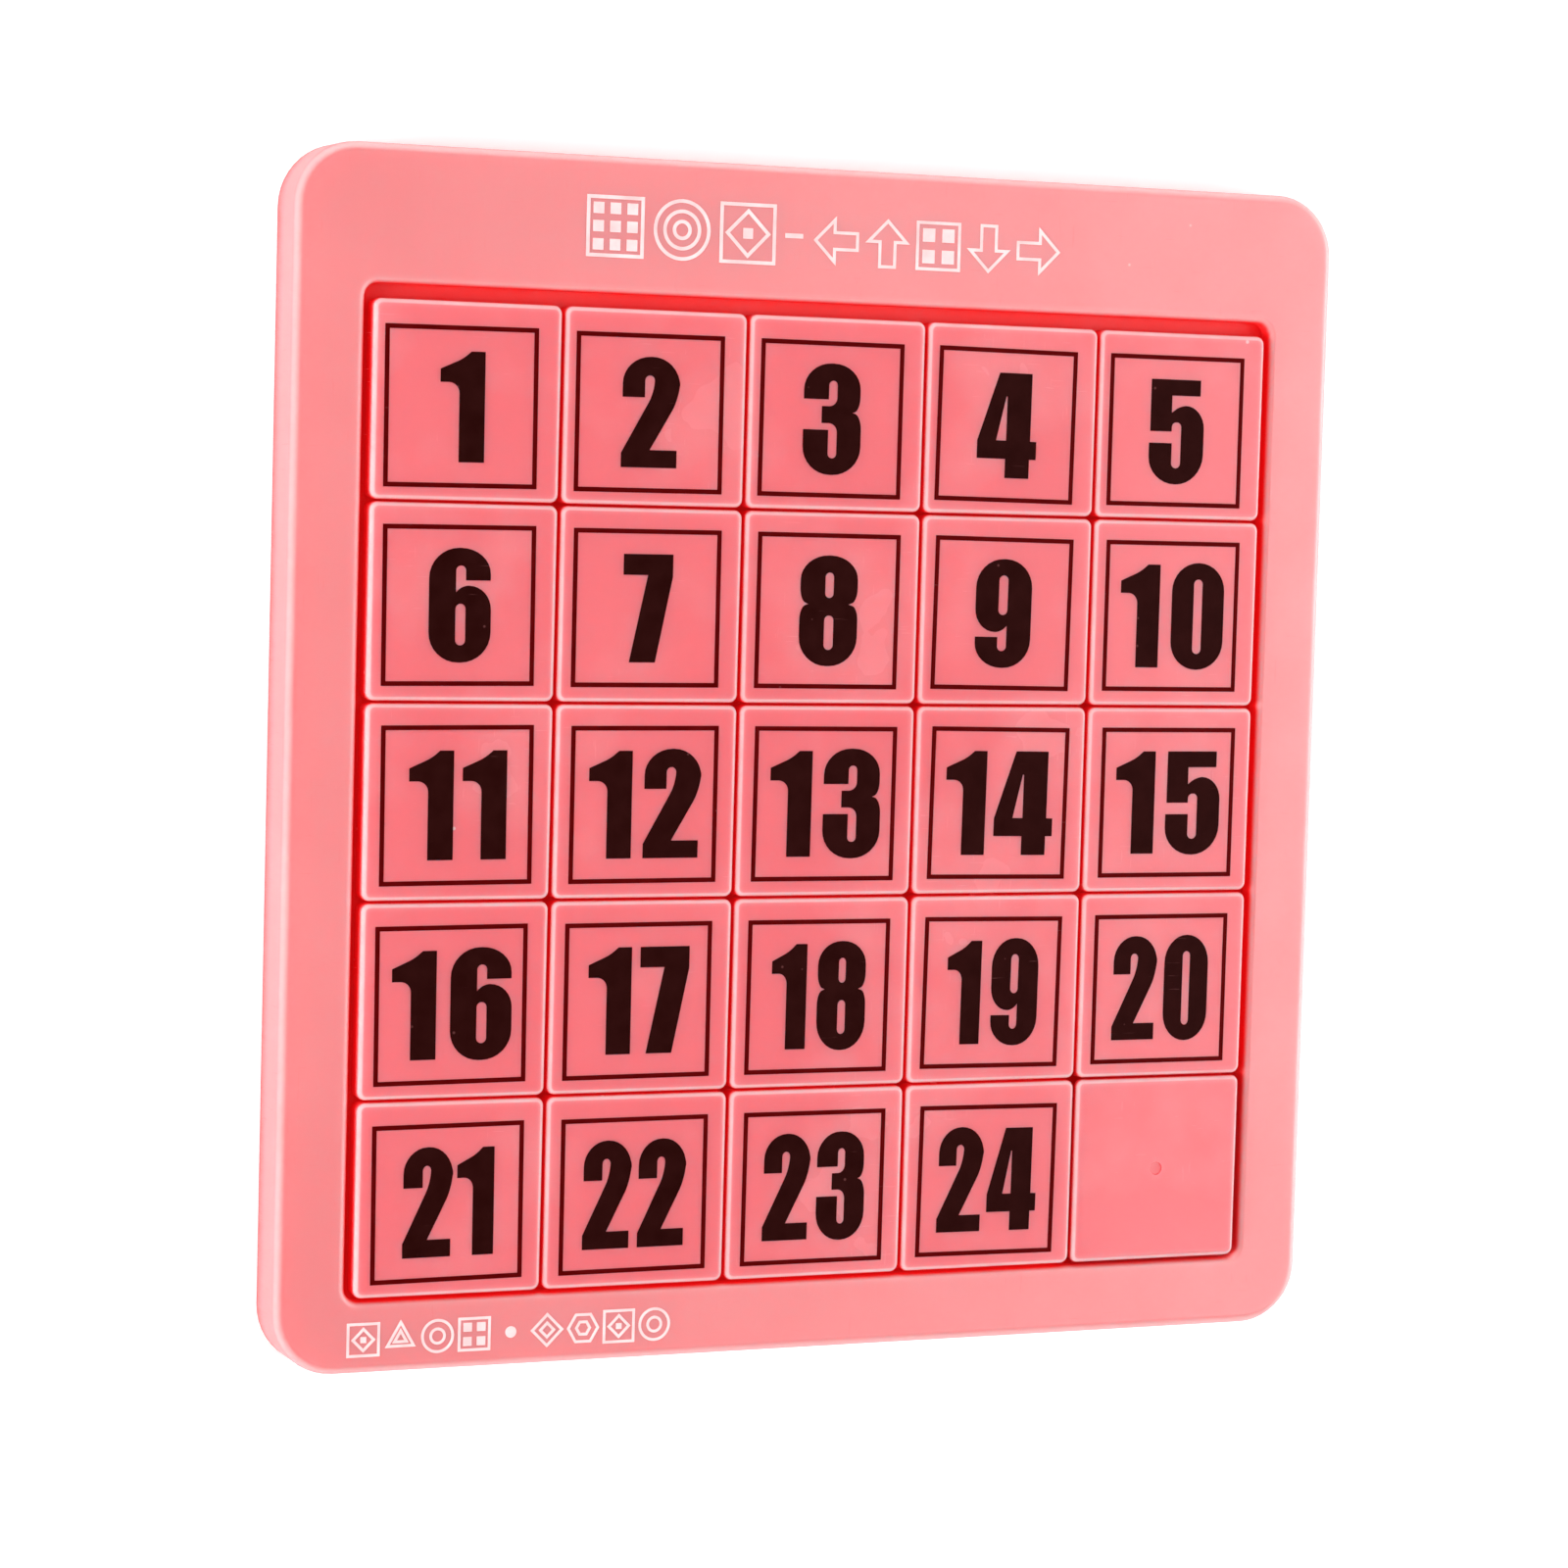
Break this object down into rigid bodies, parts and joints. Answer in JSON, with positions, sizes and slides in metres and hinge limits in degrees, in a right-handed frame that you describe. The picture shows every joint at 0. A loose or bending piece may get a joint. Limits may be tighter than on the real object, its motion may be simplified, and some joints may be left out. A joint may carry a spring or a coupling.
{
  "type": "sliding tile puzzle",
  "caption": "Hand-held sliding tile puzzle: a shallow moulded tray with a square window full of numbered tongue-and-groove tiles and a blank tile that lifts out.",
  "frame": {"origin": "centre of the tray's back, on the surface that the puzzle lies on", "axes": "+X right along the rows of tiles, +Y up the face towards the wide title strip, +Z out of the face"},
  "size_m": [0.116, 0.1222, 0.007],
  "materials": {
    "frame_plastic": "moulded gloss, pink",
    "tile_plastic": "moulded gloss, pink",
    "back_plastic": "moulded semi-gloss, pink",
    "screw_steel": "zinc plated",
    "digit_ink": "printed, near black",
    "ornament_ink": "printed, white"
  },
  "bodies": {
    "tray": {"front_frame": "frame_plastic", "back_plate": "back_plastic", "back_screws": "screw_steel"},
    "tile_01": {"tile_01": "tile_plastic"},
    "tile_02": {"tile_02": "tile_plastic"},
    "tile_03": {"tile_03": "tile_plastic"},
    "tile_04": {"tile_04": "tile_plastic"},
    "tile_05": {"tile_05": "tile_plastic"},
    "tile_06": {"tile_06": "tile_plastic"},
    "tile_07": {"tile_07": "tile_plastic"},
    "tile_08": {"tile_08": "tile_plastic"},
    "tile_09": {"tile_09": "tile_plastic"},
    "tile_10": {"tile_10": "tile_plastic"},
    "tile_11": {"tile_11": "tile_plastic"},
    "tile_12": {"tile_12": "tile_plastic"},
    "tile_13": {"tile_13": "tile_plastic"},
    "tile_14": {"tile_14": "tile_plastic"},
    "tile_15": {"tile_15": "tile_plastic"},
    "tile_16": {"tile_16": "tile_plastic"},
    "tile_17": {"tile_17": "tile_plastic"},
    "tile_18": {"tile_18": "tile_plastic"},
    "tile_19": {"tile_19": "tile_plastic"},
    "tile_20": {"tile_20": "tile_plastic"},
    "tile_21": {"tile_21": "tile_plastic"},
    "tile_22": {"tile_22": "tile_plastic"},
    "tile_23": {"tile_23": "tile_plastic"},
    "tile_24": {"tile_24": "tile_plastic"},
    "blank_tile": {"blank_tile": "tile_plastic"}
  },
  "joints": [
    {"name": "tile_24_slide", "type": "slide", "parent": "tray", "child": "tile_24", "axis": [1, 0, 0], "range_m": [0, 0.02]},
    {"name": "tile_23_slide", "type": "slide", "parent": "tray", "child": "tile_23", "axis": [1, 0, 0], "range_m": [0, 0.02]},
    {"name": "tile_22_slide", "type": "slide", "parent": "tray", "child": "tile_22", "axis": [1, 0, 0], "range_m": [0, 0.02]},
    {"name": "tile_21_slide", "type": "slide", "parent": "tray", "child": "tile_21", "axis": [1, 0, 0], "range_m": [0, 0.02]},
    {"name": "blank_tile_lift", "type": "slide", "parent": "tray", "child": "blank_tile", "axis": [0, 0, 1], "range_m": [0, 0.06]},
    {"name": "tile_16_slide", "type": "slide", "parent": "tray", "child": "tile_16", "axis": [0, 1, 0], "range_m": [0, 0.0014]},
    {"name": "tile_11_slide", "type": "slide", "parent": "tray", "child": "tile_11", "axis": [0, 1, 0], "range_m": [0, 0.0014]},
    {"name": "tile_06_slide", "type": "slide", "parent": "tray", "child": "tile_06", "axis": [0, 1, 0], "range_m": [0, 0.0014]},
    {"name": "tile_01_slide", "type": "slide", "parent": "tray", "child": "tile_01", "axis": [0, 1, 0], "range_m": [0, 0.0014]},
    {"name": "tile_17_slide", "type": "slide", "parent": "tray", "child": "tile_17", "axis": [0, 1, 0], "range_m": [0, 0.0014]},
    {"name": "tile_12_slide", "type": "slide", "parent": "tray", "child": "tile_12", "axis": [0, 1, 0], "range_m": [0, 0.0014]},
    {"name": "tile_07_slide", "type": "slide", "parent": "tray", "child": "tile_07", "axis": [0, 1, 0], "range_m": [0, 0.0014]},
    {"name": "tile_02_slide", "type": "slide", "parent": "tray", "child": "tile_02", "axis": [0, 1, 0], "range_m": [0, 0.0014]},
    {"name": "tile_18_slide", "type": "slide", "parent": "tray", "child": "tile_18", "axis": [0, 1, 0], "range_m": [0, 0.0014]},
    {"name": "tile_13_slide", "type": "slide", "parent": "tray", "child": "tile_13", "axis": [0, 1, 0], "range_m": [0, 0.0014]},
    {"name": "tile_08_slide", "type": "slide", "parent": "tray", "child": "tile_08", "axis": [0, 1, 0], "range_m": [0, 0.0014]},
    {"name": "tile_03_slide", "type": "slide", "parent": "tray", "child": "tile_03", "axis": [0, 1, 0], "range_m": [0, 0.0014]},
    {"name": "tile_19_slide", "type": "slide", "parent": "tray", "child": "tile_19", "axis": [0, 1, 0], "range_m": [0, 0.0014]},
    {"name": "tile_14_slide", "type": "slide", "parent": "tray", "child": "tile_14", "axis": [0, 1, 0], "range_m": [0, 0.0014]},
    {"name": "tile_09_slide", "type": "slide", "parent": "tray", "child": "tile_09", "axis": [0, 1, 0], "range_m": [0, 0.0014]},
    {"name": "tile_04_slide", "type": "slide", "parent": "tray", "child": "tile_04", "axis": [0, 1, 0], "range_m": [0, 0.0014]},
    {"name": "tile_20_slide", "type": "slide", "parent": "tray", "child": "tile_20", "axis": [0, 1, 0], "range_m": [0, 0.0014]},
    {"name": "tile_15_slide", "type": "slide", "parent": "tray", "child": "tile_15", "axis": [0, 1, 0], "range_m": [0, 0.0014]},
    {"name": "tile_10_slide", "type": "slide", "parent": "tray", "child": "tile_10", "axis": [0, 1, 0], "range_m": [0, 0.0014]},
    {"name": "tile_05_slide", "type": "slide", "parent": "tray", "child": "tile_05", "axis": [0, 1, 0], "range_m": [0, 0.0014]}
  ],
  "couplings": [
    {"joint": "tile_23_slide", "follows": "tile_24_slide", "ratio": 1},
    {"joint": "tile_22_slide", "follows": "tile_24_slide", "ratio": 1},
    {"joint": "tile_21_slide", "follows": "tile_24_slide", "ratio": 1},
    {"joint": "blank_tile_lift", "follows": "tile_24_slide", "ratio": 3},
    {"joint": "tile_11_slide", "follows": "tile_16_slide", "ratio": 1},
    {"joint": "tile_06_slide", "follows": "tile_16_slide", "ratio": 1},
    {"joint": "tile_01_slide", "follows": "tile_16_slide", "ratio": 1},
    {"joint": "tile_12_slide", "follows": "tile_17_slide", "ratio": 1},
    {"joint": "tile_07_slide", "follows": "tile_17_slide", "ratio": 1},
    {"joint": "tile_02_slide", "follows": "tile_17_slide", "ratio": 1},
    {"joint": "tile_13_slide", "follows": "tile_18_slide", "ratio": 1},
    {"joint": "tile_08_slide", "follows": "tile_18_slide", "ratio": 1},
    {"joint": "tile_03_slide", "follows": "tile_18_slide", "ratio": 1},
    {"joint": "tile_14_slide", "follows": "tile_19_slide", "ratio": 1},
    {"joint": "tile_09_slide", "follows": "tile_19_slide", "ratio": 1},
    {"joint": "tile_04_slide", "follows": "tile_19_slide", "ratio": 1},
    {"joint": "tile_15_slide", "follows": "tile_20_slide", "ratio": 1},
    {"joint": "tile_10_slide", "follows": "tile_20_slide", "ratio": 1},
    {"joint": "tile_05_slide", "follows": "tile_20_slide", "ratio": 1}
  ]
}
